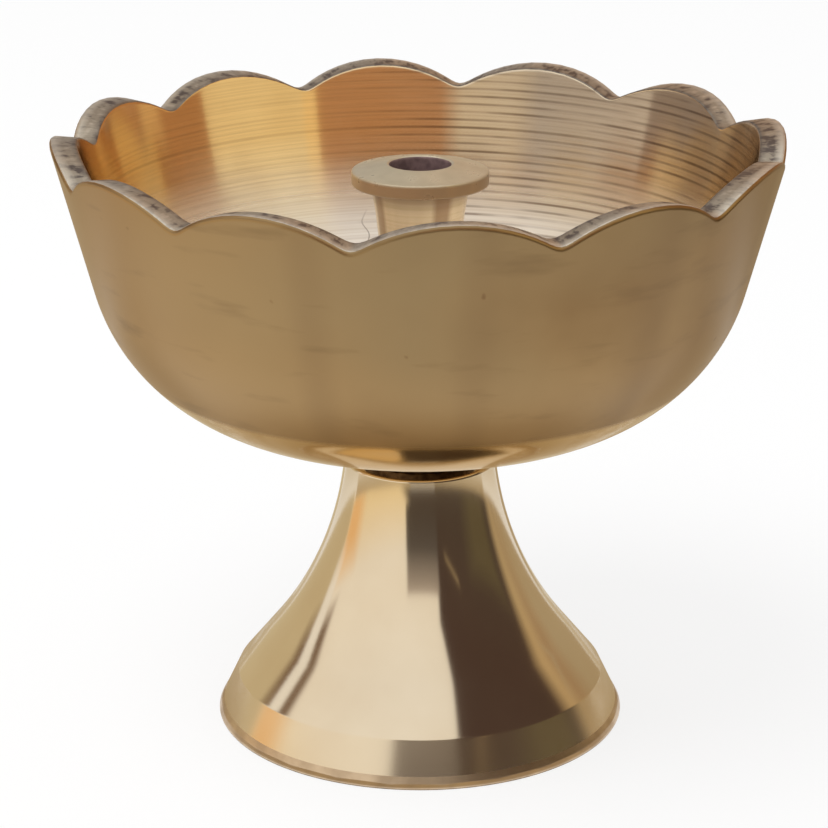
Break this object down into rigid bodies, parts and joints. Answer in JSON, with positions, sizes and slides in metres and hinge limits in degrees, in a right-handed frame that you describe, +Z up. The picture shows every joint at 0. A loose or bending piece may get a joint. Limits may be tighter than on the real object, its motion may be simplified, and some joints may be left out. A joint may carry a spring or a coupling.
{
  "type": "butter lamp",
  "caption": "Small turned brass butter lamp: a petal-rimmed bowl on a flared trumpet foot, with a flanged wick holder standing in the bowl and clamping it to the foot.",
  "frame": {"origin": "centre of the foot's base ring, on the surface the lamp stands on", "axes": "+Z up along the turning axis; +X through the tip of one petal of the rim"},
  "size_m": [0.056, 0.056, 0.0473],
  "materials": {
    "bowl_brass": "satin outside, turned rings inside, filed rim",
    "foot_brass": "polished",
    "holder_brass": "turned"
  },
  "bodies": {
    "foot": {"foot": "foot_brass"},
    "bowl": {"bowl": "bowl_brass"},
    "wick_holder": {"wick_holder": "holder_brass"}
  },
  "joints": [
    {"name": "bowl_lift", "type": "slide", "parent": "foot", "child": "bowl", "axis": [0, 0, 1], "range_m": [0, 0.01]},
    {"name": "holder_lift", "type": "slide", "parent": "bowl", "child": "wick_holder", "axis": [0, 0, 1], "range_m": [0, 0.013]}
  ]
}
